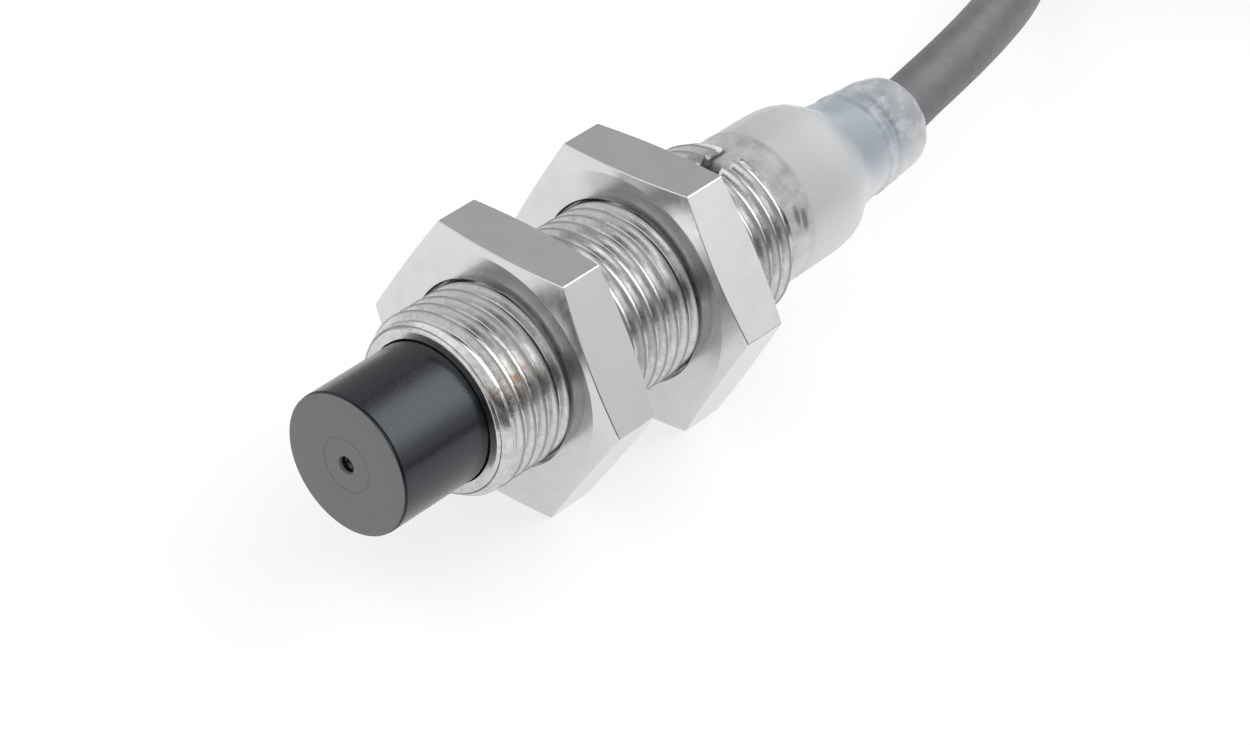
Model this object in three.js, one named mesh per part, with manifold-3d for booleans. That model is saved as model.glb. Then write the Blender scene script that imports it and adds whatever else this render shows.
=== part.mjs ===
// M12 cylindrical inductive proximity sensor with two hexagon nuts and a fixed cable.
// Millimetres, +Z up. The sensor's axis is +Y: the sensing face is at y = 0 and looks along -Y.
import * as THREE from "three";
import { mergeVertices } from "three/addons/utils/BufferGeometryUtils.js";
import Module from "manifold-3d";

const wasm = await Module();
wasm.setup();

// Sensing cap: an open-backed plastic cup that stands out of the barrel.
const CAP_RADIUS = 4.65;
const CAP_WALL = 0.55;
const CAP_FRONT_WALL = 0.6;
const CAP_LENGTH = 12;
const CAP_EDGE = 0.15;

// Barrel: M12 x 1 threaded tube.
const THREAD_RADIUS = 6;
const THREAD_ROOT_RADIUS = 5.45;
const THREAD_PITCH = 1;
const BARREL_FRONT_Y = 7.15;
const BARREL_BACK_Y = 34.5;
const BARREL_BORE_RADIUS = 4.95;
const FIRST_CREST_Y = 8.65;
const LAST_CREST_Y = 33.65;
const BARREL_CHAMFER_RADIUS = 5.55;

// Keyway through the barrel's back end, and the clamp's key in it.
const KEYWAY_TURN = THREE.MathUtils.degToRad(9);
const KEYWAY_WIDTH = 1.6;
const KEYWAY_FRONT_Y = 28.5;
const KEY_WIDTH = 1;

// Nuts: M12 x 1 thin hexagon nuts, both faces chamfered.
const NUT_ACROSS_FLATS = 17;
const NUT_THICKNESS = 4;
const NUT_BORE_RADIUS = 6.12;
const NUT_MOUTH_RADIUS = 6.22;
const NUT_MOUTH_DEPTH = 0.15;
const NUT_DISC_RADIUS = 8.05;
const NUT_CORNER_DROP = 0.39;
const FRONT_NUT_Y = 12.45;
const REAR_NUT_Y = 24.42;
const FRONT_NUT_TURN = THREE.MathUtils.degToRad(3.83);

// Coil set: pot core, bobbin and winding, behind the sensing face.
const CORE_RADIUS = 3.85;
const CORE_FRONT_Y = 0.9;
const CORE_LENGTH = 4.1;
const CORE_BACK_WALL = 1.1;
const CORE_RIM = 0.5;
const CORE_POST_RADIUS = 1.25;
const WIRE_OFFSET = 2.4;

// Circuit board and the resin around it.
const BOARD_WIDTH = 7.2;
const BOARD_THICKNESS = 0.8;
const BOARD_FRONT_Y = 9.2;
const BOARD_BACK_Y = 39.4;
const RESIN_RADIUS = 4.6;
const RESIN_FRONT_Y = 12.4;
const RESIN_BACK_Y = 31.2;

// Rear clamp: translucent cable clamp with a spigot in the barrel.
const CLAMP_FRONT_Y = 31.6;
const CLAMP_SPIGOT_RADIUS = 4.6;
const CLAMP_BODY_RADIUS = 5.24;
const CLAMP_BODY_Y = 34.8;
const CLAMP_BACK_Y = 52;
const CLAMP_BORE_RADIUS = 2.3;

// Cable: 4 mm round sheath, three insulated conductors, 2 m long from the clamp.
const CABLE_RADIUS = 2;
const CONDUCTOR_RADIUS = 0.6;
const SHEATH_START_Y = 43.5;
const CABLE_LENGTH = 2000;

// Everything lies on the plane that the front nut's lowest corner touches.
const NUT_CORNER_RADIUS = NUT_ACROSS_FLATS / Math.sqrt(3);
const FLOOR_Z = -NUT_CORNER_RADIUS * Math.sin(Math.PI / 3 + FRONT_NUT_TURN);

// Hank: the spare cable folded in line with the sensor, four layers of three turns.
const HANK_X = -4;
const HANK_NEAR_Y = 123.2;
const HANK_PITCH = 4.02;
const HANK_INNER_RADIUS = 12.1;
const HANK_TURN_RADII = [2, 1, 0].map((k) => HANK_INNER_RADIUS + k * HANK_PITCH);
const HANK_LAYERS = 4;
const CABLE_OUTSIDE_TURNS = 89;
const GAP = 0.3;

const round = THREE.MathUtils.degToRad;
const parts = new THREE.Group();

// A finish for each kind of surface.
const FINISHES = {
  cap_plastic: { color: 0x2f3032, roughness: 0.55, metalness: 0 },
  nickel: { color: 0xc4c5c6, roughness: 0.3, metalness: 1 },
  nickel_nut: { color: 0xb8b8b8, roughness: 0.36, metalness: 1 },
  clamp_plastic: { color: 0xd5dade, roughness: 0.4, metalness: 0 },
  cable_sheath: { color: 0x5f6468, roughness: 0.6, metalness: 0 },
  ferrite: { color: 0x35353a, roughness: 0.8, metalness: 0 },
  bobbin_plastic: { color: 0xe6e2d5, roughness: 0.5, metalness: 0 },
  copper: { color: 0xb5652f, roughness: 0.35, metalness: 1 },
  board: { color: 0x1f6b3c, roughness: 0.5, metalness: 0 },
  chip: { color: 0x222224, roughness: 0.55, metalness: 0 },
  ceramic: { color: 0xa98b66, roughness: 0.5, metalness: 0 },
  led: { color: 0xe07a22, roughness: 0.2, metalness: 0 },
  resin: { color: 0x2b2a33, roughness: 0.45, metalness: 0 },
  brown: { color: 0x6b3f22, roughness: 0.5, metalness: 0 },
  blue: { color: 0x2a55a8, roughness: 0.5, metalness: 0 },
  black: { color: 0x1b1b1c, roughness: 0.5, metalness: 0 },
  tie_plastic: { color: 0x262627, roughness: 0.5, metalness: 0 },
};

// Adds one named piece and returns its mesh.
function piece(name, finish, geometry) {
  const mesh = new THREE.Mesh(geometry, new THREE.MeshStandardMaterial(FINISHES[finish]));
  mesh.name = name;
  parts.add(mesh);
  return mesh;
}

// A closed geometry as a solid that can be joined and cut.
function solid(geometry) {
  const bare = geometry.index ? geometry.toNonIndexed() : geometry.clone();
  bare.deleteAttribute("normal");
  bare.deleteAttribute("uv");
  const merged = mergeVertices(bare, 1e-4);
  const mesh = new wasm.Mesh({
    numProp: 3,
    vertProperties: merged.attributes.position.array,
    triVerts: new Uint32Array(merged.index.array),
  });
  return new wasm.Manifold(mesh);
}

// A joined or cut solid as a geometry again.
function geometryOf(body) {
  const mesh = body.getMesh();
  const geometry = new THREE.BufferGeometry();
  geometry.setAttribute("position", new THREE.BufferAttribute(mesh.vertProperties, 3));
  geometry.setIndex(new THREE.BufferAttribute(mesh.triVerts, 1));
  geometry.computeVertexNormals();
  return geometry;
}

// A solid of revolution about the Y axis from [radius, y] points, listed with y rising on its outside.
function turned(profile, segments = 40) {
  const points = profile.map(([radius, y]) => new THREE.Vector2(radius, y));
  return new THREE.LatheGeometry(points, segments);
}

// A ring of revolution: the same, for a profile that closes on itself.
function ring(profile, segments = 40) {
  return turned([...profile, profile[0]], segments);
}

// A box given by its extents along x, y and z.
function block([x0, x1], [y0, y1], [z0, z1]) {
  const box = new THREE.BoxGeometry(x1 - x0, y1 - y0, z1 - z0);
  return box.translate((x0 + x1) / 2, (y0 + y1) / 2, (z0 + z1) / 2);
}

// A round tube along a smooth curve through the points.
function tube(points, radius, steps, sides = 8) {
  const section = new THREE.Shape();
  for (let i = 0; i < sides; i++) {
    const angle = (2 * Math.PI * i) / sides;
    const corner = [radius * Math.cos(angle), radius * Math.sin(angle)];
    if (i === 0) section.moveTo(...corner);
    else section.lineTo(...corner);
  }
  const curve = new THREE.CatmullRomCurve3(points.map((p) => new THREE.Vector3(...p)));
  return new THREE.ExtrudeGeometry(section, { steps, bevelEnabled: false, extrudePath: curve });
}

// Sensing cap, with a small chamfer round its flat face.
function sensingCap() {
  const inside = CAP_RADIUS - CAP_WALL;
  const profile = [
    [0, 0],
    [CAP_RADIUS - CAP_EDGE, 0],
    [CAP_RADIUS, CAP_EDGE],
    [CAP_RADIUS, CAP_LENGTH],
    [inside, CAP_LENGTH],
    [inside, CAP_FRONT_WALL],
    [0, CAP_FRONT_WALL],
  ];
  piece("sensing_cap", "cap_plastic", turned(profile));
}

// Pot core, bobbin, winding and the winding's two wires to the board.
function coilSet() {
  const back = CORE_FRONT_Y + CORE_LENGTH;
  const well = back - CORE_BACK_WALL;
  const rimInside = CORE_RADIUS - CORE_RIM;
  const coreProfile = [
    [0, CORE_FRONT_Y],
    [CORE_POST_RADIUS, CORE_FRONT_Y],
    [CORE_POST_RADIUS, well],
    [rimInside, well],
    [rimInside, CORE_FRONT_Y],
    [CORE_RADIUS, CORE_FRONT_Y],
    [CORE_RADIUS, back],
    [0, back],
  ];
  let core = solid(turned(coreProfile, 36));
  for (const side of [-1, 1]) {
    const x = side * WIRE_OFFSET;
    const hole = block([x - 0.5, x + 0.5], [well - 0.5, back + 0.5], [-0.45, 0.45]);
    core = core.subtract(solid(hole));
  }
  piece("ferrite_core", "ferrite", geometryOf(core));

  const hub = [CORE_POST_RADIUS + 0.25, CORE_POST_RADIUS + 0.5];
  const rim = rimInside - 0.25;
  const front = CORE_FRONT_Y + 0.25;
  const rear = well - 0.3;
  const flange = 0.25;
  const bobbinProfile = [
    [hub[0], front],
    [rim, front],
    [rim, front + flange],
    [hub[1], front + flange],
    [hub[1], rear - flange],
    [rim, rear - flange],
    [rim, rear],
    [hub[0], rear],
  ];
  piece("coil_bobbin", "bobbin_plastic", ring(bobbinProfile, 36));

  const windingProfile = [
    [hub[1] + 0.2, front + flange + 0.2],
    [rim - 0.1, front + flange + 0.2],
    [rim - 0.1, rear - flange - 0.2],
    [hub[1] + 0.2, rear - flange - 0.2],
  ];
  piece("coil_winding", "copper", ring(windingProfile, 36));

  for (const [name, side] of [["coil_wire_start", -1], ["coil_wire_end", 1]]) {
    const route = [
      [side * WIRE_OFFSET, rear + 0.2, 0],
      [side * WIRE_OFFSET, 6.2, 0],
      [side * 2.45, 8.4, 0.5],
      [side * 2.6, 9.9, 0.75],
    ];
    piece(name, "copper", tube(route, 0.15, 10, 6));
  }
}

// Resin that holds the coil set in the cap, with a slot for each wire.
function frontResin() {
  const front = CORE_FRONT_Y + CORE_LENGTH + GAP;
  const back = BOARD_FRONT_Y - GAP;
  const profile = [
    [0, front],
    [CORE_RADIUS, front],
    [CORE_RADIUS, back],
    [0, back],
  ];
  let plug = solid(turned(profile, 36));
  for (const side of [-1, 1]) {
    const x = side * WIRE_OFFSET;
    const slot = block([x - 0.6, x + 0.6], [front - 1, back + 1], [-0.5, 1.1]);
    plug = plug.subtract(solid(slot));
  }
  piece("front_resin_plug", "resin", geometryOf(plug));
}

// Threaded tube: one ridge a pitch, both ends chamfered, with a keyway through the back end's wall.
function threadedBarrel() {
  const profile = [
    [BARREL_BORE_RADIUS, BARREL_FRONT_Y],
    [BARREL_CHAMFER_RADIUS, BARREL_FRONT_Y],
  ];
  for (let y = FIRST_CREST_Y; y < LAST_CREST_Y + THREAD_PITCH / 2; y += THREAD_PITCH) {
    profile.push([THREAD_RADIUS, y]);
    if (y < LAST_CREST_Y - THREAD_PITCH / 2) profile.push([THREAD_ROOT_RADIUS, y + THREAD_PITCH / 2]);
  }
  profile.push([BARREL_CHAMFER_RADIUS, BARREL_BACK_Y]);
  profile.push([BARREL_BORE_RADIUS, BARREL_BACK_Y]);
  const half = KEYWAY_WIDTH / 2;
  const keyway = block(
    [-half, half],
    [KEYWAY_FRONT_Y, BARREL_BACK_Y + 1],
    [BARREL_BORE_RADIUS - 1, THREAD_RADIUS + 1],
  ).rotateY(KEYWAY_TURN);
  const barrel = solid(ring(profile, 32)).subtract(solid(keyway));
  piece("threaded_barrel", "nickel", geometryOf(barrel));
}

// Hexagon nut with its front face at y = 0, its corners cut back by a shallow cone on both faces.
function nutGeometry() {
  const hexagon = new THREE.Shape();
  for (let i = 0; i < 6; i++) {
    const angle = (i * Math.PI) / 3;
    const corner = [NUT_CORNER_RADIUS * Math.cos(angle), NUT_CORNER_RADIUS * Math.sin(angle)];
    if (i === 0) hexagon.moveTo(...corner);
    else hexagon.lineTo(...corner);
  }
  const prism = new THREE.ExtrudeGeometry(hexagon, { depth: NUT_THICKNESS, bevelEnabled: false });
  prism.rotateX(Math.PI / 2).translate(0, NUT_THICKNESS, 0);

  const reach = NUT_CORNER_RADIUS + 0.3;
  const slope = NUT_CORNER_DROP / (NUT_CORNER_RADIUS - NUT_DISC_RADIUS);
  const drop = slope * (reach - NUT_DISC_RADIUS);
  const cone = turned(
    [
      [0, 0],
      [NUT_DISC_RADIUS, 0],
      [reach, drop],
      [reach, NUT_THICKNESS - drop],
      [NUT_DISC_RADIUS, NUT_THICKNESS],
      [0, NUT_THICKNESS],
    ],
    48,
  );
  const lip = NUT_MOUTH_RADIUS + (NUT_MOUTH_RADIUS - NUT_BORE_RADIUS);
  const bore = turned(
    [
      [0, -NUT_MOUTH_DEPTH],
      [lip, -NUT_MOUTH_DEPTH],
      [NUT_BORE_RADIUS, NUT_MOUTH_DEPTH],
      [NUT_BORE_RADIUS, NUT_THICKNESS - NUT_MOUTH_DEPTH],
      [lip, NUT_THICKNESS + NUT_MOUTH_DEPTH],
      [0, NUT_THICKNESS + NUT_MOUTH_DEPTH],
    ],
    48,
  );
  return geometryOf(solid(prism).intersect(solid(cone)).subtract(solid(bore)));
}

function nuts() {
  const front = piece("front_nut", "nickel_nut", nutGeometry());
  front.position.y = FRONT_NUT_Y;
  front.rotation.y = FRONT_NUT_TURN;
  const rear = piece("rear_nut", "nickel_nut", nutGeometry());
  rear.position.y = REAR_NUT_Y;
}

// A small-outline package: a body with a row of legs on each side, on the board's top.
function package_({ x, y, width, length, height, legs, legWidth, reach }) {
  const base = BOARD_THICKNESS / 2 + 0.15;
  const body = block([x - width / 2, x + width / 2], [y - length / 2, y + length / 2], [base, base + height]);
  let made = solid(body);
  for (const side of [-1, 1]) {
    const count = side < 0 ? legs[0] : legs[1];
    for (let i = 0; i < count; i++) {
      const at = y + ((i + 0.5) / count - 0.5) * length * 0.9;
      const ends = [x + side * (width / 2 - 0.1), x + side * (width / 2 + reach)].sort((a, b) => a - b);
      const leg = block(ends, [at - legWidth / 2, at + legWidth / 2], [base, base + 0.3]);
      made = made.add(solid(leg));
    }
  }
  return geometryOf(made);
}

// A plain chip part on the board's top.
function chip({ x, y, width, length, height }) {
  const base = BOARD_THICKNESS / 2 + 0.15;
  return block([x - width / 2, x + width / 2], [y - length / 2, y + length / 2], [base, base + height]);
}

function board() {
  const half = BOARD_WIDTH / 2;
  const thick = BOARD_THICKNESS / 2;
  piece("circuit_board", "board", block([-half, half], [BOARD_FRONT_Y, BOARD_BACK_Y], [-thick, thick]));
  const ic = { x: 0, y: 16.2, width: 3.6, length: 5, height: 1.4, legs: [4, 4], legWidth: 0.45, reach: 0.9 };
  piece("sensor_ic", "chip", package_(ic));
  const sot = { x: -1.4, y: 25.4, width: 1.4, length: 2.9, height: 1, legs: [1, 2], legWidth: 0.45, reach: 0.55 };
  piece("output_transistor", "chip", package_(sot));
  const diode = { x: 1.9, y: 26, width: 1.6, length: 2.7, height: 1.1 };
  piece("protection_diode", "chip", chip(diode));
  piece("oscillator_capacitor", "ceramic", chip({ x: -1.5, y: 11.8, width: 1.25, length: 2, height: 0.9 }));
  piece("supply_capacitor", "ceramic", chip({ x: 1.3, y: 21.6, width: 1.6, length: 3.2, height: 1.4 }));
  piece("sensitivity_resistor", "chip", chip({ x: 1.5, y: 11.8, width: 0.8, length: 1.6, height: 0.5 }));
  piece("led_resistor", "chip", chip({ x: -2.2, y: 21.4, width: 0.8, length: 1.6, height: 0.5 }));
  piece("indicator_led", "led", chip({ x: 2.9, y: 36.8, width: 0.8, length: 1.6, height: 0.8 }));
}

// Resin round the board in the barrel, with a channel for the board and one for its parts.
function barrelResin() {
  const profile = [
    [0, RESIN_FRONT_Y],
    [RESIN_RADIUS, RESIN_FRONT_Y],
    [RESIN_RADIUS, RESIN_BACK_Y],
    [0, RESIN_BACK_Y],
  ];
  const ends = [RESIN_FRONT_Y - 1, RESIN_BACK_Y + 1];
  const boardChannel = block([-3.9, 3.9], ends, [-0.7, 0.75]);
  const partChannel = block([-3.3, 3.3], ends, [0.6, 2.35]);
  const body = solid(turned(profile, 36)).subtract(solid(boardChannel)).subtract(solid(partChannel));
  piece("barrel_resin", "resin", geometryOf(body));
}

// Cable clamp: spigot, body, shoulder, neck and end collar, hollow, with a key in the barrel's keyway.
function cableClamp() {
  const outside = [
    [CLAMP_SPIGOT_RADIUS, CLAMP_FRONT_Y],
    [CLAMP_SPIGOT_RADIUS, CLAMP_BODY_Y],
    [CLAMP_BODY_RADIUS - 0.2, CLAMP_BODY_Y],
    [CLAMP_BODY_RADIUS, CLAMP_BODY_Y + 0.3],
    [CLAMP_BODY_RADIUS, 41.2],
    [5.08, 42.2],
    [4.7, 43.1],
    [4.1, 44],
    [3.8, 44.8],
    [3.55, 47],
    [3.32, 49.2],
    [3.22, 50.5],
    [3.1, CLAMP_BACK_Y - 0.2],
    [2.95, CLAMP_BACK_Y],
  ];
  const inside = [
    [CLAMP_BORE_RADIUS, CLAMP_BACK_Y],
    [CLAMP_BORE_RADIUS, 43.9],
    [4.1, 41.3],
    [4.1, CLAMP_FRONT_Y],
  ];
  const half = KEY_WIDTH / 2;
  const key = block([-half, half], [CLAMP_FRONT_Y, CLAMP_BODY_Y + 0.4], [4.3, 5.2]).rotateY(KEYWAY_TURN);
  const body = solid(ring([...outside, ...inside], 36)).add(solid(key));
  piece("cable_clamp", "clamp_plastic", geometryOf(body));
}

// The cable's three conductors, from the cut end of the sheath to the board's pads.
function boardConductors() {
  const pads = [
    ["conductor_brown", "brown", [-0.74, -0.42], [-1.25, 0.1], [-2.1, 1], -2.3],
    ["conductor_blue", "blue", [0, 0.85], [-0.1, 1.15], [-0.55, 1.3], -0.6],
    ["conductor_black", "black", [0.74, -0.42], [1, 0], [1.1, 1.05], 1.1],
  ];
  const rest = BOARD_THICKNESS / 2 + 0.25 + CONDUCTOR_RADIUS;
  for (const [name, finish, start, near, rise, pad] of pads) {
    const route = [
      [start[0], SHEATH_START_Y - GAP, start[1]],
      [near[0], 41.8, near[1]],
      [rise[0], 40.3, rise[1]],
      [pad, 38.8, rest],
      [pad, 36.8, rest],
    ];
    piece(name, finish, tube(route, CONDUCTOR_RADIUS, 12));
  }
}

// The cable from the cut end of its sheath, through the clamp and down to the hank.
function cableLead() {
  const lying = FLOOR_Z + CABLE_RADIUS;
  const route = [
    [0, SHEATH_START_Y, 0],
    [0, 46.5, 0],
    [0, 49.5, 0],
    [-0.2, 52.5, 0],
    [-0.8, 56, 0],
    [-1.5, 60, -0.05],
    [-2.4, 64, -0.25],
    [-3.6, 68, -0.7],
    [-5.1, 72, -1.4],
    [-7.1, 76.3, -2.4],
    [-9.7, 81, -3.6],
    [-12.7, 86.2, -4.9],
    [-16, 92, -5.95],
    [-19.1, 98.2, -6.6],
    [-21.6, 105, lying],
    [-22.25, 107.4, lying],
  ];
  piece("cable_lead", "cable_sheath", tube(route, CABLE_RADIUS, 26));
}

// The straight run of each of the hank's turns, from the length that is left for the hank.
function hankRun() {
  const widest = HANK_TURN_RADII[0];
  const turns = HANK_LAYERS * HANK_TURN_RADII.length;
  const bends = 2 * Math.PI * HANK_LAYERS * HANK_TURN_RADII.reduce((sum, r) => sum + r, 0);
  const unused = Math.PI * widest;
  return (CABLE_LENGTH - CABLE_OUTSIDE_TURNS - bends + unused) / (2 * turns);
}

// An outline of two straight runs joined by half circles.
function oval(Kind, radius, run) {
  const outline = new Kind();
  outline.absarc(HANK_X, HANK_NEAR_Y + run, radius, 0, Math.PI, false);
  outline.absarc(HANK_X, HANK_NEAR_Y, radius, Math.PI, 2 * Math.PI, false);
  outline.closePath();
  return outline;
}

// The hank, the tie round its left run, and the cable's free end lying on top of it.
function hank() {
  const run = hankRun();
  const grow = CABLE_RADIUS - 0.2;
  const outer = HANK_TURN_RADII[0] + grow;
  const inner = HANK_TURN_RADII[2] - grow;
  const height = CABLE_RADIUS + (HANK_LAYERS - 1) * HANK_PITCH + grow;
  const top = FLOOR_Z + height;
  const outline = oval(THREE.Shape, outer, run);
  outline.holes.push(oval(THREE.Path, inner, run));
  const settings = { depth: height, bevelEnabled: false, curveSegments: 20 };
  const body = new THREE.ExtrudeGeometry(outline, settings).translate(0, 0, FLOOR_Z);

  const tieY = HANK_NEAR_Y + run / 2;
  const tieWidth = 3;
  const tieThick = 0.5;
  const lift = 1.1;
  const across = [HANK_X - outer, HANK_X - inner];
  const notch = block(
    [across[0] - 1, across[1] + 1],
    [tieY - tieWidth / 2 - GAP, tieY + tieWidth / 2 + GAP],
    [FLOOR_Z - 1, FLOOR_Z + lift],
  );
  piece("cable_hank", "cable_sheath", geometryOf(solid(body).subtract(solid(notch))));

  const along = [tieY - tieWidth / 2, tieY + tieWidth / 2];
  const bandTop = top + lift + GAP;
  const band = block(
    [across[0] - GAP - tieThick, across[1] + GAP + tieThick],
    along,
    [FLOOR_Z + 0.1, bandTop + tieThick],
  );
  const space = block(
    [across[0] - GAP, across[1] + GAP],
    [along[0] - 1, along[1] + 1],
    [FLOOR_Z + 0.1 + tieThick, bandTop],
  );
  const twistX = across[1] - 3;
  const twist = block(
    [twistX - 1.2, twistX + 1.2],
    [tieY - 6, tieY + 6],
    [bandTop + tieThick - 0.2, bandTop + tieThick + 1.6],
  );
  piece("hank_tie", "tie_plastic", geometryOf(solid(band).subtract(solid(space)).add(solid(twist))));

  const radius = HANK_TURN_RADII[1];
  const tailZ = top + GAP + CABLE_RADIUS;
  const onArc = (r, degrees, z) => [
    HANK_X + r * Math.cos(round(degrees)),
    HANK_NEAR_Y - r * Math.sin(round(degrees)),
    z,
  ];
  const tail = [
    [HANK_X + radius, HANK_NEAR_Y + 5, tailZ],
    [HANK_X + radius, HANK_NEAR_Y + 2.5, tailZ],
    onArc(radius, 0, tailZ),
    onArc(radius, 10, tailZ),
    onArc(radius, 20, tailZ),
    onArc(radius, 30, tailZ),
  ];
  piece("cable_tail", "cable_sheath", tube(tail, CABLE_RADIUS, 8));

  const lie = top + GAP + CONDUCTOR_RADIUS;
  const leads = [["lead_brown", "brown", -1.45], ["lead_blue", "blue", 0], ["lead_black", "black", 1.45]];
  for (const [name, finish, offset] of leads) {
    const start = 0.85 * offset;
    const route = [onArc(radius + start, 32, tailZ - 0.2), onArc(radius + start, 38, tailZ - 0.6)];
    for (let degrees = 48; degrees <= 128; degrees += 10) {
      const fan = offset * (1 + 0.5 * ((degrees - 48) / 80));
      route.push(onArc(radius + fan, degrees, lie));
    }
    piece(name, finish, tube(route, CONDUCTOR_RADIUS, 18));
  }
}

sensingCap();
coilSet();
frontResin();
threadedBarrel();
nuts();
board();
barrelResin();
cableClamp();
boardConductors();
cableLead();
hank();

export default parts;
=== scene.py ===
"""An M12 inductive proximity sensor: sensing cap, threaded barrel, two nuts, cable clamp and cable.

Lengths are written in millimetres and turned into metres by MM. The sensor's axis is +Y, with the
sensing face at y = 0, and +Z is up, as in the CAD model.
"""

import math

import bmesh
import bpy
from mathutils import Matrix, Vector, noise


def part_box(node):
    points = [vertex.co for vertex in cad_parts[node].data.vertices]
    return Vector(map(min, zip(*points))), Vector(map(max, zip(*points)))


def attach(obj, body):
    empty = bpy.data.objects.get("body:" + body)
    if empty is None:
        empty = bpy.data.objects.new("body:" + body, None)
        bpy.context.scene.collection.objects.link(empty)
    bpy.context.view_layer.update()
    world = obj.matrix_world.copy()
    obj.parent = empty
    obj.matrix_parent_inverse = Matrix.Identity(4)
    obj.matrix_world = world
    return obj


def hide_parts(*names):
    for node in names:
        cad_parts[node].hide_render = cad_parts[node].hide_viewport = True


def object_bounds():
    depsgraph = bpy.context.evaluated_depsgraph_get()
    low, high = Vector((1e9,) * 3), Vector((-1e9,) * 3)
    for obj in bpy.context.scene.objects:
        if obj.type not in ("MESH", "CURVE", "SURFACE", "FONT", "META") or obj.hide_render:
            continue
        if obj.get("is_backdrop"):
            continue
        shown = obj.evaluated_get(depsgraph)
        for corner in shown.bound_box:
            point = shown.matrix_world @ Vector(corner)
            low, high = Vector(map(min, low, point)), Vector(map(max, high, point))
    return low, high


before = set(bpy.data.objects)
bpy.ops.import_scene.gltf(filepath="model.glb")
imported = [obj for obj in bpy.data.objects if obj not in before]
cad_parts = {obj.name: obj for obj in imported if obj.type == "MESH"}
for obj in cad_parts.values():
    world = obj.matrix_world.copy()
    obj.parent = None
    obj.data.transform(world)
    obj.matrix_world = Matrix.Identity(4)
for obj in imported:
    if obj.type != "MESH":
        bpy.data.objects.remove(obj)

MM = 0.001
TURN = 2 * math.pi
cad_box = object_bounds()

# Places and sizes that the CAD model sets, in millimetres.
NODE_BOX = {name: [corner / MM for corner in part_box(name)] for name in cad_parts}
FLOOR_Z = NODE_BOX["front_nut"][0].z
BARREL_FRONT_Y = NODE_BOX["threaded_barrel"][0].y
BARREL_BACK_Y = NODE_BOX["threaded_barrel"][1].y
CAP_RADIUS = NODE_BOX["sensing_cap"][1].x
CAP_LENGTH = NODE_BOX["sensing_cap"][1].y
CLAMP_FRONT_Y = NODE_BOX["cable_clamp"][0].y
CLAMP_BACK_Y = NODE_BOX["cable_clamp"][1].y
NUT_ACROSS_FLATS = NODE_BOX["rear_nut"][1].z * 2
NUT_THICKNESS = NODE_BOX["rear_nut"][1].y - NODE_BOX["rear_nut"][0].y

# Thread: M12 x 1.
PITCH = 1.0
CREST_RADIUS = 6.0
ROOT_RADIUS = 5.48
THREAD_SHIFT = 0.38  # where the crest stands at the front end, as a share of a pitch
# Half of one thread, as (share of a pitch from the crest, share of the thread's height). The points
# close to a bend keep the flank between them flat.
THREAD_SHAPE = (
    (0, 1),
    (0.02, 0.995),
    (0.045, 0.96),
    (0.07, 0.89),
    (0.1, 0.797),
    (0.315, 0.13),
    (0.345, 0.037),
    (0.37, 0.008),
    (0.4, 0),
    (0.5, 0),
)
BORE_RADIUS = 4.95
KEYWAY_TURN = math.radians(6.5)
KEYWAY_WIDTH = 1.45
KEYWAY_FRONT_Y = 28.5
FRONT_NUT_TURN = math.radians(3.83)

# Cable.
CABLE_DIAMETER = 4.0
CONDUCTOR_RADIUS = 0.65
CABLE_LENGTH = 2000.0
HANK_X = -4.0
HANK_NEAR_Y = 123.2
HANK_PITCH = 4.02
HANK_INNER_RADIUS = 12.1
HANK_RADII = tuple(HANK_INNER_RADIUS + k * HANK_PITCH for k in (2, 1, 0))
HANK_LAYERS = 4


# ---------------------------------------------------------------- camera


def aim_camera():
    """The camera stands to the sensor's front right, well above it, with a long lens."""
    target, distance = Vector((3.402, 20.829, -2.709)), 241.354
    azimuth, elevation = math.radians(40.314), math.radians(33.77)
    back = Vector(
        (
            math.sin(azimuth) * math.cos(elevation),
            -math.cos(azimuth) * math.cos(elevation),
            math.sin(elevation),
        )
    )
    data = bpy.data.cameras.new("camera")
    data.lens = 114.13
    data.sensor_width = 36
    data.clip_start, data.clip_end = 0.01, 10
    data.dof.use_dof = False
    camera = bpy.data.objects.new("camera", data)
    camera.location = (target + back * distance) * MM
    camera.rotation_mode = "QUATERNION"
    camera.rotation_quaternion = (-back).to_track_quat("-Z", "Y")
    bpy.context.scene.collection.objects.link(camera)
    bpy.context.scene.camera = camera


# ---------------------------------------------------------------- materials


def add_node(tree, kind, inputs=None, **settings):
    """A new node in the tree. inputs maps its sockets, by name or number, to values or sockets."""
    node = tree.nodes.new(kind)
    for key, value in settings.items():
        setattr(node, key, value)
    for key, value in (inputs or {}).items():
        if isinstance(value, bpy.types.NodeSocket):
            tree.links.new(value, node.inputs[key])
        else:
            node.inputs[key].default_value = value
    return node


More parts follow.
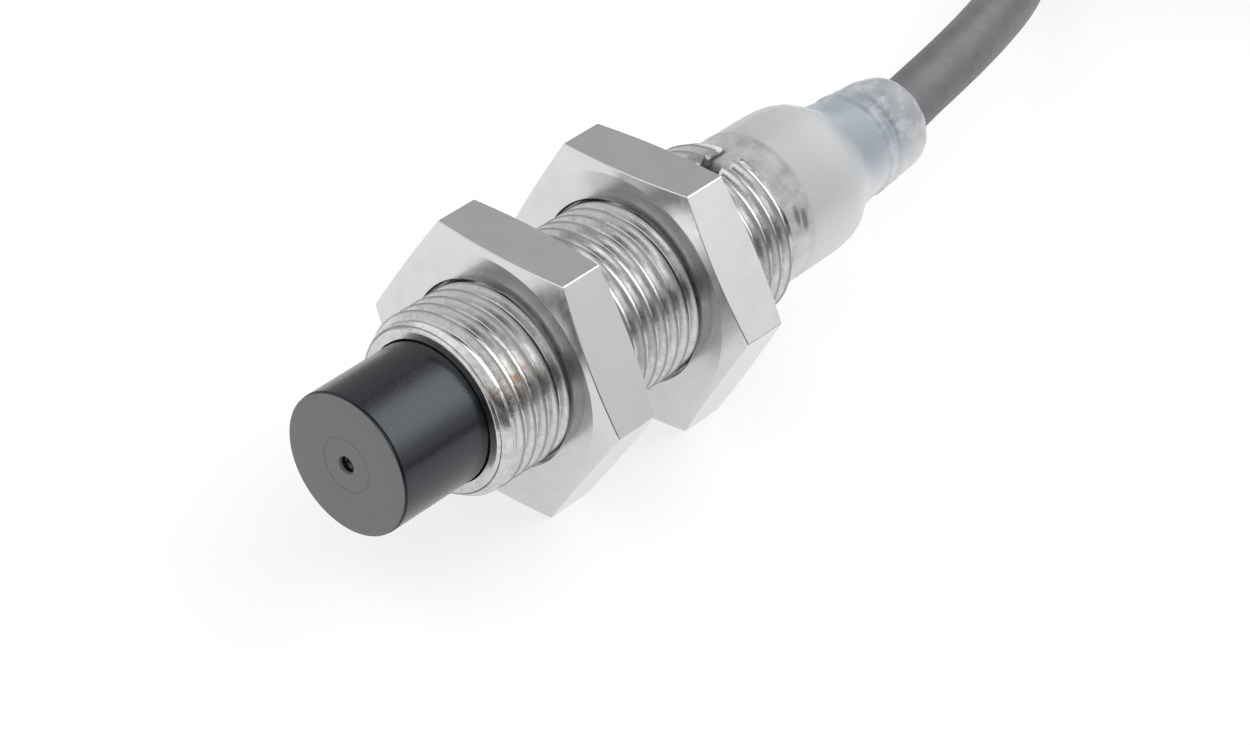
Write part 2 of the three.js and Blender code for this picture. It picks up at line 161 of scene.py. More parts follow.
class Nodes:
    """A node material with one Principled shader, and short ways to add to it."""

    def __init__(self, name, colour, roughness, metallic=0.0):
        self.material = bpy.data.materials.new(name)
        self.material.use_nodes = True
        self.tree = self.material.node_tree
        self.shader = next(n for n in self.tree.nodes if n.type == "BSDF_PRINCIPLED")
        self.set("Base Color", (*colour, 1))
        self.set("Roughness", roughness)
        self.set("Metallic", metallic)
        self.height = None
        self.place = self.add("ShaderNodeTexCoord").outputs["Object"]

    def set(self, socket, value):
        self.shader.inputs[socket].default_value = value
        return self

    def add(self, kind, inputs=None, **settings):
        return add_node(self.tree, kind, inputs, **settings)

    def noise(self, size, detail=4.0, roughness=0.55, place=None):
        """A noise value from 0 to 1 whose grains are about size millimetres across."""
        inputs = {
            "Vector": place or self.place,
            "Scale": 1 / (size * MM),
            "Detail": detail,
            "Roughness": roughness,
        }
        return self.add("ShaderNodeTexNoise", inputs).outputs["Fac"]

    def rings(self, size, wobble=0.0):
        """Rings about the sensor's axis, size millimetres apart. At a scale of 1 the wave texture's
        own rings are a tenth of pi apart."""
        inputs = {
            "Vector": self.place,
            "Scale": math.pi / 10 / (size * MM),
            "Distortion": wobble,
            "Detail": 2.0,
        }
        wave = self.add("ShaderNodeTexWave", inputs, wave_type="RINGS", rings_direction="Y")
        return wave.outputs["Fac"]

    def stretch(self, factors):
        """The place, stretched: a factor under 1 draws the pattern out along that axis."""
        inputs = {"Vector": self.place, "Scale": factors}
        return self.add("ShaderNodeMapping", inputs).outputs["Vector"]

    def between(self, value, low, high, start=0.3, end=0.7):
        """value, from start to end, turned into a number from low to high."""
        inputs = {
            "Value": value,
            "From Min": start,
            "From Max": end,
            "To Min": low,
            "To Max": high,
        }
        return self.add("ShaderNodeMapRange", inputs).outputs["Result"]

    def blend(self, value, low, high, start=0.3, end=0.7):
        """A colour from low to high, as value goes from start to end."""
        ramp = self.add("ShaderNodeValToRGB", {"Fac": value})
        first, last = ramp.color_ramp.elements
        first.position, first.color = start, (*low, 1)
        last.position, last.color = end, (*high, 1)
        return ramp.outputs["Color"]

    def ramp(self, value, stops):
        """A colour that follows value through stops of (value, colour)."""
        low, high = stops[0][0], stops[-1][0]
        share = self.between(value, 0, 1, low, high)
        node = self.add("ShaderNodeValToRGB", {"Fac": share})
        elements = node.color_ramp.elements
        while len(elements) < len(stops):
            elements.new(1.0)
        for element, (place, colour) in zip(elements, stops):
            element.position = (place - low) / (high - low)
            element.color = (*colour, 1)
        return node.outputs["Color"]

    def near(self, centre, factors, full, none):
        """1 within full millimetres of a place on the sensor, 0 beyond none millimetres of it."""
        there = tuple(c * f * MM for c, f in zip(centre, factors))
        inputs = {0: self.stretch(factors), 1: there}
        away = self.add("ShaderNodeVectorMath", inputs, operation="DISTANCE")
        return self.between(away.outputs["Value"], 1, 0, full * MM, none * MM)

    def plus(self, one, two):
        node = self.add("ShaderNodeMath", {0: one, 1: two}, operation="ADD")
        return node.outputs["Value"]

    def times(self, one, two):
        node = self.add("ShaderNodeMath", {0: one, 1: two}, operation="MULTIPLY")
        return node.outputs["Value"]

    def mix(self, factor, one, two):
        """The colour one where factor is 0, and two where it is 1."""
        node = self.add("ShaderNodeMix", data_type="RGBA", clamp_factor=True)
        sockets = {s.identifier: s for s in node.inputs}
        for key, value in (("Factor_Float", factor), ("A_Color", one), ("B_Color", two)):
            if isinstance(value, bpy.types.NodeSocket):
                self.tree.links.new(value, sockets[key])
            else:
                sockets[key].default_value = value
        return next(s for s in node.outputs if s.identifier == "Result_Color")

    def colour(self, socket):
        self.tree.links.new(socket, self.shader.inputs["Base Color"])
        return self

    def rough(self, socket):
        self.tree.links.new(socket, self.shader.inputs["Roughness"])
        return self

    def bump(self, value, depth, strength=1.0):
        """Adds a relief of depth millimetres from a value that goes from 0 to 1."""
        inputs = {"Height": value, "Distance": depth * MM, "Strength": strength}
        if self.height is not None:
            inputs["Normal"] = self.height
        node = self.add("ShaderNodeBump", inputs)
        self.height = node.outputs["Normal"]
        self.tree.links.new(self.height, self.shader.inputs["Normal"])
        return self


def thread_nickel():
    """Plating over a rough rolled thread: mottled, dull on the crests, with brown specks at one worn
    place."""
    m = Nodes("thread_nickel", (0.62, 0.62, 0.61), 0.28, 1.0)
    patches = m.noise(0.6, 5, 0.65)
    grain = m.noise(0.16, 3, 0.6)
    plated = m.blend(patches, (0.54, 0.54, 0.535), (0.69, 0.69, 0.68), 0.35, 0.65)
    soiled = m.mix(m.between(grain, 0.16, 0.0, 0.34, 0.52), plated, (0.3, 0.29, 0.27, 1))
    from_axis = m.add("ShaderNodeVectorMath", {0: m.stretch((1, 0, 1))}, operation="LENGTH")
    crest = m.between(from_axis.outputs["Value"], 0, 1, 5.86 * MM, 5.97 * MM)
    dulled = m.mix(m.times(crest, 0.88), soiled, (0.29, 0.29, 0.285, 1))
    worn_place = (4.9, 9.0, 3.1)
    worn = m.near(worn_place, (1, 0.55, 1), 0.7, 1.2)
    specks = m.times(worn, m.between(m.noise(0.45, 2), 0, 0.8, 0.53, 0.6))
    m.colour(m.mix(specks, dulled, (0.45, 0.32, 0.23, 1)))
    m.rough(m.plus(m.between(grain, 0.18, 0.27), m.times(crest, 0.2)))
    m.bump(grain, 0.004, 0.5).bump(m.noise(0.4, 3), 0.02, 0.5)
    return m.material


def nut_nickel():
    """Satin plating on drawn flats."""
    m = Nodes("nut_nickel", (0.67, 0.67, 0.66), 0.2, 1.0)
    m.colour(m.blend(m.noise(2.5, 4), (0.645, 0.645, 0.64), (0.685, 0.685, 0.68)))
    m.rough(m.between(m.noise(0.6, 4), 0.17, 0.23))
    m.bump(m.noise(0.06, 2, place=m.stretch((1, 0.08, 1))), 0.002, 0.12)
    return m.material


def nut_face_nickel():
    """The nut's end faces: the same plating over fine rings from the turning tool."""
    m = Nodes("nut_face_nickel", (0.67, 0.67, 0.66), 0.2, 1.0)
    m.colour(m.blend(m.noise(1.5, 4), (0.64, 0.64, 0.635), (0.685, 0.685, 0.68)))
    m.rough(m.between(m.noise(0.4, 4), 0.15, 0.22))
    m.bump(m.rings(0.754, 0.6), 0.002, 0.25)
    return m.material


def cap_side_plastic():
    """Black plastic with a fine sheen."""
    m = Nodes("cap_side_plastic", (0.012, 0.013, 0.015), 0.3)
    m.set("IOR", 1.56).set("Specular Tint", (0.78, 0.85, 0.93, 1))
    m.colour(m.blend(m.noise(0.12, 3), (0.006, 0.0065, 0.0075), (0.011, 0.012, 0.014)))
    m.rough(m.between(m.noise(0.2, 3), 0.2, 0.29))
    m.bump(m.noise(0.05, 2), 0.003, 0.25)
    return m.material


def cap_face_plastic():
    """The same plastic, greyer and duller on the flat face."""
    m = Nodes("cap_face_plastic", (0.16, 0.16, 0.16), 0.6)
    m.colour(m.blend(m.noise(0.1, 3), (0.135, 0.135, 0.135), (0.158, 0.158, 0.158)))
    m.rough(m.between(m.noise(0.3, 3), 0.5, 0.66))
    m.bump(m.noise(0.05, 2), 0.004, 0.3)
    return m.material


def clamp_plastic():
    """Frosted polyamide: lets light through, and blurs what is in it. It is crinkled over the
    barrel's end, where a darker mottled band is painted shade and two dark strokes are the
    painted shade of the LED inside, and bluer where the cable runs close under it. Its underside
    is whitened: painted light from the floor below."""
    m = Nodes("clamp_plastic", (0.8, 0.8, 0.8), 0.4)
    m.set("Transmission Weight", 0.5).set("IOR", 1.4)
    m.set("Subsurface Weight", 0.6).set("Subsurface Scale", 1.5 * MM)
    m.set("Subsurface Radius", (1.0, 1.0, 1.0))
    clouds = m.noise(2.2, 4, 0.6)
    streaks = m.noise(1.3, 4, 0.65, place=m.stretch((0.4, 2.4, 0.4)))
    parts = m.add("ShaderNodeSeparateXYZ", {"Vector": m.place}).outputs
    y, z = parts["Y"], parts["Z"]
    drift = m.between(clouds, -0.9 * MM, 0.9 * MM, 0.3, 0.7)
    stops = [
        (36, (0.7, 0.7, 0.695)),
        (41.5, (0.765, 0.765, 0.76)),
        (43.2, (0.7, 0.73, 0.76)),
        (45.4, (0.48, 0.54, 0.61)),
        (47.6, (0.5, 0.555, 0.62)),
        (49, (0.5, 0.53, 0.57)),
        (51, (0.53, 0.545, 0.57)),
    ]
    tone = m.ramp(m.plus(y, drift), [(place * MM, colour) for place, colour in stops])
    tone = m.mix(m.between(streaks, 0.0, 0.3), tone, m.mix(0.25, tone, (0.5, 0.5, 0.5, 1)))
    crinkles = m.noise(0.9, 4, 0.65, place=m.stretch((1, 0.5, 1)))
    # Painted shade: a darker, mottled band over the barrel's end, where the barrel and the parts in it
    # shade the plastic. The same crinkles also give relief further down.
    band = m.blend(crinkles, (0.41, 0.41, 0.405), (0.82, 0.82, 0.81), 0.34, 0.66)
    band_end = m.plus(y, m.times(drift, 0.3))
    tone = m.mix(m.between(band_end, 0.85, 0, 36.8 * MM, 37.3 * MM), tone, band)
    collar = m.between(y, 0, 1, 46.6 * MM, 47.6 * MM)
    folds = m.times(collar, m.between(crinkles, 0, 0.65, 0.5, 0.6))
    tone = m.mix(folds, tone, (0.84, 0.86, 0.89, 1))
    # Painted light: the lower side is whitened, as if lit by the glowing floor below.
    painted_underlight = m.between(z, 0.85, 0, -1.5 * MM, 2 * MM)
    tone = m.mix(painted_underlight, tone, (0.95, 0.95, 0.95, 1))
    # Painted shade: two dark strokes stand for the LED inside, seen through the plastic.
    painted_led_shade_places = (4.84, 35.8, 2.0), (4.95, 36.4, 1.55)
    for place in painted_led_shade_places:
        led_shade = m.near(place, (1, 2.0, 0.62), 0.28, 0.6)
        tone = m.mix(m.times(led_shade, 0.8), tone, (0.12, 0.12, 0.12, 1))
    m.colour(tone)
    m.rough(m.between(m.noise(0.5, 4), 0.28, 0.42))
    m.bump(m.noise(0.25, 3), 0.01, 0.35).bump(streaks, 0.05, 0.35)
    m.bump(crinkles, 0.06, 0.4)
    return m.material


def cable_pvc():
    """The cable's dark grey sheath, dull and slightly wavy."""
    m = Nodes("cable_pvc", (0.1, 0.105, 0.11), 0.5)
    m.colour(m.blend(m.noise(1.2, 4), (0.1, 0.104, 0.11), (0.135, 0.139, 0.146)))
    m.rough(m.between(m.noise(0.3, 3), 0.42, 0.58))
    m.bump(m.noise(0.12, 3), 0.012, 0.35).bump(m.noise(1.5, 2), 0.05, 0.3)
    return m.material


def wire_pvc(name, colour):
    """A conductor's insulation."""
    m = Nodes(name, colour, 0.4)
    paler = tuple(min(1, 1.25 * c + 0.01) for c in colour)
    m.colour(m.blend(m.noise(0.8, 3), colour, paler))
    m.rough(m.between(m.noise(0.2, 3), 0.32, 0.5))
    m.bump(m.noise(0.15, 2), 0.01, 0.3)
    return m.material


def moulded(name, colour, roughness, grain=0.08):
    """A moulded or cast surface: slight changes of tone and a fine grain."""
    m = Nodes(name, colour, roughness)
    paler = tuple(min(1, 1.2 * c + 0.005) for c in colour)
    m.colour(m.blend(m.noise(6 * grain, 4), colour, paler))
    m.rough(m.between(m.noise(3 * grain, 3), roughness - 0.08, roughness + 0.1))
    m.bump(m.noise(grain, 2), 0.1 * grain, 0.4)
    return m.material


def metal(name, colour, roughness, grain=0.05):
    """Bare or enamelled wire."""
    m = Nodes(name, colour, roughness, 1.0)
    darker = tuple(0.8 * c for c in colour)
    m.colour(m.blend(m.noise(5 * grain, 3), darker, colour))
    m.rough(m.between(m.noise(2 * grain, 3), roughness - 0.06, roughness + 0.12))
    m.bump(m.noise(grain, 2), 0.06 * grain, 0.4)
    return m.material


# ---------------------------------------------------------------- mesh helpers


def mesh_object(name, points, faces, materials, indices=None, flat=False):
    """A piece from points in millimetres. Points that coincide are joined."""
    mesh = bpy.data.meshes.new(name)
    mesh.from_pydata([Vector(p) * MM for p in points], [], faces)
    for material in materials:
        mesh.materials.append(material)
    if indices:
        mesh.polygons.foreach_set("material_index", indices)
    made = bmesh.new()
    made.from_mesh(mesh)
    bmesh.ops.remove_doubles(made, verts=made.verts, dist=1e-7)
    bmesh.ops.dissolve_degenerate(made, edges=made.edges, dist=1e-8)
    bmesh.ops.recalc_face_normals(made, faces=made.faces)
    for face in made.faces:
        face.smooth = not flat
    made.to_mesh(mesh)
    made.free()
    piece = bpy.data.objects.new(name, mesh)
    bpy.context.scene.collection.objects.link(piece)
    return piece


def skin(rings, loop=False, caps=(), band_material=None):
    """Points and faces of a surface through rings of points, with a material index for each face.

    Each ring closes on itself, loop joins the last ring to the first, and caps names the rings, by
    number, that a fan closes."""
    count = len(rings[0])
    points = [p for ring in rings for p in ring]
    faces, indices = [], []
    last = len(rings) if loop else len(rings) - 1
    for k in range(last):
        near, far = k * count, ((k + 1) % len(rings)) * count
        for i in range(count):
            j = (i + 1) % count
            faces.append((near + i, near + j, far + j, far + i))
            indices.append(band_material(k) if band_material else 0)
    for k in caps:
        middle = sum((Vector(p) for p in rings[k]), Vector()) / count
        points.append(middle)
        start = (k % len(rings)) * count
        for i in range(count):
            faces.append((start + i, start + (i + 1) % count, len(points) - 1))
            indices.append(band_material(0 if k == 0 else last - 1) if band_material else 0)
    return points, faces, indices


def on_axis(radius, turn, y):
    """The point at that radius and that turn from +Z towards +X."""
    return Vector((radius * math.sin(turn), y, radius * math.cos(turn)))


def turned(name, profile, materials, segments=128, band_material=None, wobble=None):
    """A piece turned about the sensor's axis. The profile of (radius, y) points closes on itself,
    or starts and ends on the axis."""
    rings = []
    for radius, y in profile:
        ring = []
        for i in range(segments):
            turn = TURN * i / segments
            wider, further = wobble(turn, radius, y) if wobble and radius > 0 else (0, 0)
            ring.append(on_axis(radius + wider, turn, y + further))
        rings.append(ring)
    closed = profile[0][0] > 0
    points, faces, indices = skin(rings, loop=closed, band_material=band_material)
    return mesh_object(name, points, faces, materials, indices)


def cut(piece, cutter):
    """Takes the cutter's solid away from the piece, and removes the cutter."""
    modifier = piece.modifiers.new("cut", "BOOLEAN")
    modifier.operation = "DIFFERENCE"
    modifier.solver = "EXACT"
    modifier.object = cutter
    bpy.context.view_layer.update()
    graph = bpy.context.evaluated_depsgraph_get()
    mesh = bpy.data.meshes.new_from_object(piece.evaluated_get(graph))
    piece.modifiers.clear()
    piece.data = mesh
    bpy.data.objects.remove(cutter)


def box_points(low, high):
    """A box's rings: its lower rectangle and its upper one."""
    (x0, y0, z0), (x1, y1, z1) = low, high
    corners = [(x0, y0), (x1, y0), (x1, y1), (x0, y1)]
    return [[Vector((x, y, z)) for x, y in corners] for z in (z0, z1)]


def bevelled_box(name, low, high, bevel, material, turn=0.0):
    """A box with rounded edges, turned about the sensor's axis."""
    points, faces, indices = skin(box_points(low, high), caps=(0, -1))
    piece = mesh_object(name, points, faces, [material], indices, flat=True)
    made = bmesh.new()
    made.from_mesh(piece.data)
    bmesh.ops.dissolve_limit(made, angle_limit=0.01, verts=made.verts, edges=made.edges)
    bmesh.ops.bevel(
        made,
        geom=made.edges,
        offset=bevel * MM,
        segments=3,
        profile=0.5,
        affect="EDGES",
        clamp_overlap=True,
    )
    for vert in made.verts:
        x, z = vert.co.x, vert.co.z
        vert.co.x = x * math.cos(turn) + z * math.sin(turn)
        vert.co.z = z * math.cos(turn) - x * math.sin(turn)
    for face in made.faces:
        face.smooth = True
    made.to_mesh(piece.data)
    made.free()
    return piece


def sharp_at(piece, degrees):
    """Shades the piece smooth, except across edges that turn by more than this."""
    made = bmesh.new()
    made.from_mesh(piece.data)
    for edge in made.edges:
        if len(edge.link_faces) == 2:
            edge.smooth = edge.calc_face_angle(0) < math.radians(degrees)
    made.to_mesh(piece.data)
    made.free()


def give(piece, body, slot, *nodes):
    """The piece rides on a body and stands for CAD nodes. The slot is not used."""
    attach(piece, body)
    if nodes:
        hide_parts(*nodes)
    return piece


# ---------------------------------------------------------------- cable


def lead_route():
    """The cable from the cut end of its sheath, through the clamp, down to the surface and along it."""
    lying = FLOOR_Z + CABLE_DIAMETER / 2
    return [
        (0, 43.5, 0),
        (0, 46.5, 0),
        (0, 49.5, 0),
        (-0.2, 52.5, 0),
        (-0.8, 56, 0),
        (-1.5, 60, -0.05),
        (-2.4, 64, -0.25),
        (-3.6, 68, -0.7),
        (-5.1, 72, -1.4),
        (-7.1, 76.3, -2.4),
        (-9.7, 81, -3.6),
        (-12.7, 86.2, -4.9),
        (-16, 92, -5.95),
        (-19.1, 98.2, -6.6),
        (-21.6, 105, lying),
        (-23.3, 112, lying),
        (-24.1, 118.2, lying),
    ]


def hank_run():
    """The straight run of each turn, from the length that the bends and the lead leave."""
    outside_the_turns = 89
    turns = HANK_LAYERS * len(HANK_RADII)
    bends = TURN * HANK_LAYERS * sum(HANK_RADII) - math.pi * HANK_RADII[0]
    return (CABLE_LENGTH - outside_the_turns - bends) / (2 * turns)


def tie_lift(y):
    """How far the runs rise where they pass over the tie's lower side."""
    away = abs(y - HANK_NEAR_Y - hank_run() / 2) / 13
    return 1.1 * (0.5 + 0.5 * math.cos(math.pi * away)) if away < 1 else 0.0


def hank_route():
    """The folded turns, inwards and outwards by turns, each layer on the one below, and the free end
    on top of them."""
    lying = FLOOR_Z + CABLE_DIAMETER / 2
    run = hank_run()
    places = []
    for layer in range(HANK_LAYERS):
        radii = HANK_RADII if layer % 2 == 0 else HANK_RADII[::-1]
        places += [(radius, lying + HANK_PITCH * layer) for radius in radii]
    places.append((HANK_RADII[1], lying + HANK_PITCH * HANK_LAYERS))
    route = []
    straight, bend = 4, 8
    for turn, (radius, z) in enumerate(places[:-1]):
        next_radius, next_z = places[turn + 1]
        for k in range(straight):
            y = HANK_NEAR_Y + run * k / straight
            route.append((HANK_X - radius, y, z + tie_lift(y)))
        for k in range(bend + 1):
            angle = math.pi * k / bend
            x = HANK_X - radius * math.cos(angle)
            route.append((x, HANK_NEAR_Y + run + radius * math.sin(angle), z))
        for k in range(1, straight + 1):
            share = (1 - math.cos(math.pi * k / straight)) / 2
            x = HANK_X + radius + (next_radius - radius) * share
            y = HANK_NEAR_Y + run * (1 - k / straight)
            route.append((x, y, z + (next_z - z) * share))
        last = turn == len(places) - 2
        for k in range(1, 2 if last else bend):
            angle = math.pi * k / bend
            x = HANK_X + next_radius * math.cos(angle)
            route.append((x, HANK_NEAR_Y - next_radius * math.sin(angle), next_z))
    return route


def smooth_curve(name, route, radius, material, resolution=6):
    """A round cord as one open spline through the route's points."""
    curve = bpy.data.curves.new(name, "CURVE")
    curve.dimensions = "3D"
    curve.bevel_depth = radius * MM
    curve.bevel_resolution = 5
    curve.resolution_u = resolution
    curve.use_fill_caps = True
    spline = curve.splines.new("BEZIER")
    spline.bezier_points.add(len(route) - 1)
    for point, place in zip(spline.bezier_points, route):
        point.co = Vector(place) * MM
        point.handle_left_type = point.handle_right_type = "AUTO"
    curve.materials.append(material)
    piece = bpy.data.objects.new(name, curve)
    bpy.context.scene.collection.objects.link(piece)
    return piece


def make_cable(sheath):
    cable = smooth_curve("cable", lead_route() + hank_route(), CABLE_DIAMETER / 2, sheath)
    return give(cable, "sensor", "cable_sheath", "cable_lead", "cable_hank", "cable_tail")


def make_tie(plastic):
    """A flat twist tie round the hank's left run, with its two ends twisted together on top."""
    half_width, thickness, inset = 1.5, 0.48, 0.02
    middle_y = HANK_NEAR_Y + hank_run() / 2
    left = HANK_X - HANK_RADII[0] - CABLE_DIAMETER / 2 - inset
    right = HANK_X - HANK_RADII[-1] + CABLE_DIAMETER / 2 + inset
    low = FLOOR_Z + tie_lift(middle_y) - inset
    high = low + (HANK_LAYERS - 1) * HANK_PITCH + CABLE_DIAMETER + 2 * inset

    def outline(grow):
        """The band's section at this distance outside the bundle, clockwise from its lower left."""
        corner = 1.6 + grow
        x0, x1, z0, z1 = left - grow, right + grow, low - grow, high + grow
        centres = [
            (x0 + corner, z0 + corner, 180),
            (x0 + corner, z1 - corner, 90),
            (x1 - corner, z1 - corner, 0),
            (x1 - corner, z0 + corner, -90),
        ]
        path = []
        for x, z, start in centres:
            for k in range(7):
                angle = math.radians(start + 90 - 15 * k)
                path.append((x + corner * math.cos(angle), z + corner * math.sin(angle)))
        return path

    section = [
        (0, -half_width),
        (thickness * 0.45, -half_width),
        (thickness, -0.55),
        (thickness * 1.05, 0),
        (thickness, 0.55),
        (thickness * 0.45, half_width),
        (0, half_width),
    ]
    rings = []
    for grow, across in section:
        rings.append([Vector((x, middle_y + across, z)) for x, z in outline(grow)])
    points, faces, indices = skin(rings, loop=True)
    band = mesh_object("tie_band", points, faces, [plastic], indices)
    sharp_at(band, 40)
    give(band, "sensor", "tie_plastic", "hank_tie")

    twist_length, turns, steps = 12.0, 2.5, 40
    twist_x, twist_z = right - 3, high + thickness + 0.75
    twisted = []
    for k in range(steps + 1):
        share = k / steps
        y = middle_y + twist_length * (share - 0.5)
        angle = TURN * turns * share
        wide = 0.85 + 0.1 * math.cos(4 * TURN * share)
        ring = []
        for i in range(12):
            around = TURN * i / 12
            across = wide * math.cos(around)
            thick = 0.42 * math.sin(around)
            x = across * math.cos(angle) - thick * math.sin(angle)
            z = across * math.sin(angle) + thick * math.cos(angle)
            ring.append(Vector((twist_x + x, y, twist_z + z)))
        twisted.append(ring)
    points, faces, indices = skin(twisted, caps=(0, -1))
    twist = mesh_object("tie_twist", points, faces, [plastic], indices)
    sharp_at(twist, 60)
    give(twist, "sensor", "tie_plastic")
    return [band, twist]


def make_leads(colours, tin):
    """The stripped end's three leads, fanned out on top of the hank, each with a tinned tip."""
    radius = HANK_RADII[1]
    tail_z = FLOOR_Z + CABLE_DIAMETER / 2 + HANK_PITCH * HANK_LAYERS
    lying = tail_z - CABLE_DIAMETER / 2 - 0.1 + CONDUCTOR_RADIUS

    def on_arc(r, degrees, z):
        angle = math.radians(degrees)
        return (HANK_X + r * math.cos(angle), HANK_NEAR_Y - r * math.sin(angle), z)

    def fanned(offset, degrees):
        """The radius on which a lead lies: the leads spread by half their spacing on the way."""
        return radius + offset * (1 + 0.5 * (degrees - laid_from) / 80)

    spacing, strand_radius = 1.45, 0.42
    laid_from, laid_to = 43, 118
    made = []
    for (name, material), offset in zip(colours.items(), (-spacing, 0, spacing)):
        start = radius + 0.62 * offset
        start_z = tail_z + (0.35 if offset == 0 else -0.2)
        route = [on_arc(start, 18, start_z), on_arc(start, 24, start_z)]
        route.append(on_arc(radius + 0.9 * offset, 33, tail_z - 0.45))
        for degrees in range(laid_from, laid_to + 1, 15):
            route.append(on_arc(fanned(offset, degrees), degrees, lying))
        lead = smooth_curve(name + "_lead", route, CONDUCTOR_RADIUS, material)
        give(lead, "sensor", name, "lead_" + name)
        tip_radius = fanned(offset, laid_to)
        tip = [on_arc(tip_radius, degrees, lying) for degrees in (116, 122, 127, 132)]
        strands = smooth_curve(name + "_lead_tip", tip, strand_radius, tin)
        give(strands, "sensor", name)
        made += [lead, strands]
    return made


# ---------------------------------------------------------------- sensor


def gate_depth(turn, radius, y):
    """The gate mark's relief: a round pit with a rough stub standing to the right in it."""
    if y > 0.1 or radius > 0.7:
        return 0, 0
    x, z = radius * math.sin(turn), radius * math.cos(turn)
    share = min(1.0, max(0.0, (0.6 - radius) / 0.14))
    pit = 0.46 * share * share * (3 - 2 * share)
    away = math.hypot(x - 0.24, z + 0.08) / 0.34
    stub = 0.34 * max(0.0, 1 - away**3)
    rough = 0.05 * noise.noise(Vector((x, z, 0.3)) * 5) * share
    return 0, max(0.0, pit - min(stub, pit * 0.75) + rough)


def make_cap(side, face):
    """The sensing cap: a flat face with a gate mark and a faint ring, over a smooth side."""
    wall, front_wall = 0.55, 0.9
    inside = CAP_RADIUS - wall
    face_profile = [(0, 0.42)]
    gate_step, gate_rings = 0.06, 12
    face_profile += [(gate_step * k, 0) for k in range(1, gate_rings + 1)]
    face_profile += [
        (1.2, 0),
        (1.73, 0),
        (1.77, 0.03),
        (1.8, 0.03),
        (1.84, 0),
        (3, 0),
        (CAP_RADIUS - 0.13, 0),
        (CAP_RADIUS - 0.07, 0.015),
    ]
    side_profile = [
        (CAP_RADIUS - 0.03, 0.06),
        (CAP_RADIUS - 0.12, 0.11),
        (CAP_RADIUS - 0.12, 0.17),
        (CAP_RADIUS, 0.25),
        (CAP_RADIUS, 2.5),
        (CAP_RADIUS, 5),
        (CAP_RADIUS, CAP_LENGTH - 0.1),
        (CAP_RADIUS - 0.1, CAP_LENGTH),
        (inside + 0.1, CAP_LENGTH),
        (inside, CAP_LENGTH - 0.1),
        (inside, front_wall + 0.3),
        (inside - 0.3, front_wall),
        (0, front_wall),
    ]
    profile = face_profile + side_profile
    pit_bands = 9

    def band_material(k):
        return 1 if pit_bands <= k < len(face_profile) - 1 else 0

    cap = turned("cap", profile, [side, face], 160, band_material, gate_depth)
    sharp_at(cap, 32)
    return give(cap, "sensor", "cap_plastic", "sensing_cap")


def thread_height(phase):
    """The thread's radius at this share of a pitch from a crest."""
    away = abs((phase + 0.5) % 1 - 0.5)
    for (a, high), (b, low) in zip(THREAD_SHAPE, THREAD_SHAPE[1:]):
        if away <= b:
            share = high + (low - high) * (away - a) / (b - a)
            return ROOT_RADIUS + (CREST_RADIUS - ROOT_RADIUS) * share
    return ROOT_RADIUS


def make_barrel(plated):
    """The threaded tube: one right-hand helix, chamfered ends, and the keyway in its back end."""
    half = [share for share, _ in THREAD_SHAPE[1:-1]]
    phases = half + [1 - share for share in reversed(half)]
    columns = 180
    turns = math.ceil((BARREL_BACK_Y - BARREL_FRONT_Y) / PITCH) + 2
    rows = [(t + p) * PITCH for t in range(turns) for p in phases]
    front_y, lip = BARREL_FRONT_Y + 0.17, 4.7

    def outside(y, turn):
        phase = (y - BARREL_FRONT_Y) / PITCH - turn / TURN - THREAD_SHIFT
        radius = thread_height(phase)
        place = Vector((2.2 * math.sin(turn), y * 3, 2.2 * math.cos(turn))) * 3
        radius += 0.008 * noise.noise(place)
        front_chamfer = 5.56 + 0.55 * (y - front_y)
        back_chamfer = 5.6 + 0.8 * (BARREL_BACK_Y - y)
        return min(radius, front_chamfer, back_chamfer)

    columns_of_points = []
    for i in range(columns + 1):
        turn = TURN * i / columns
        column = []
        for row in rows:
            y = BARREL_FRONT_Y - PITCH + row + PITCH * (i / columns + THREAD_SHIFT)
            y = min(max(y, front_y), BARREL_BACK_Y)
            column.append(on_axis(outside(y, turn), turn, y))
        around = Vector((math.sin(turn), math.cos(turn), 0))
        uneven = 0.025 * noise.noise(around * 4)
        ends = [
            (BORE_RADIUS + 0.12, BARREL_BACK_Y),
            (BORE_RADIUS, BARREL_BACK_Y - 0.12),
            (BORE_RADIUS, BARREL_FRONT_Y + 0.9),
            (lip, BARREL_FRONT_Y + 0.75),
            (lip, BARREL_FRONT_Y + 0.1),
            (lip + 0.05 + uneven, BARREL_FRONT_Y),
            (5.0, BARREL_FRONT_Y + 0.012 + 0.4 * uneven),
            (5.22, BARREL_FRONT_Y + 0.5 * uneven),
            (5.28, BARREL_FRONT_Y + 0.005 + 0.5 * uneven),
            (5.36, BARREL_FRONT_Y + 0.05),
            (5.41, BARREL_FRONT_Y + 0.16),
            (5.45, BARREL_FRONT_Y + 0.28),
            (5.52, BARREL_FRONT_Y + 0.19),
        ]
        column += [on_axis(radius, turn, y) for radius, y in ends]
        columns_of_points.append(column)
    points, faces, indices = skin(columns_of_points)
    barrel = mesh_object("barrel", points, faces, [plated], indices)
    low = (-KEYWAY_WIDTH / 2, KEYWAY_FRONT_Y, BORE_RADIUS - 1)
    high = (KEYWAY_WIDTH / 2, BARREL_BACK_Y + 1, CREST_RADIUS + 1)
    cut(barrel, bevelled_box("keyway", low, high, 0.03, plated, KEYWAY_TURN))
    sharp_at(barrel, 42)
    return give(barrel, "sensor", "nickel", "threaded_barrel")


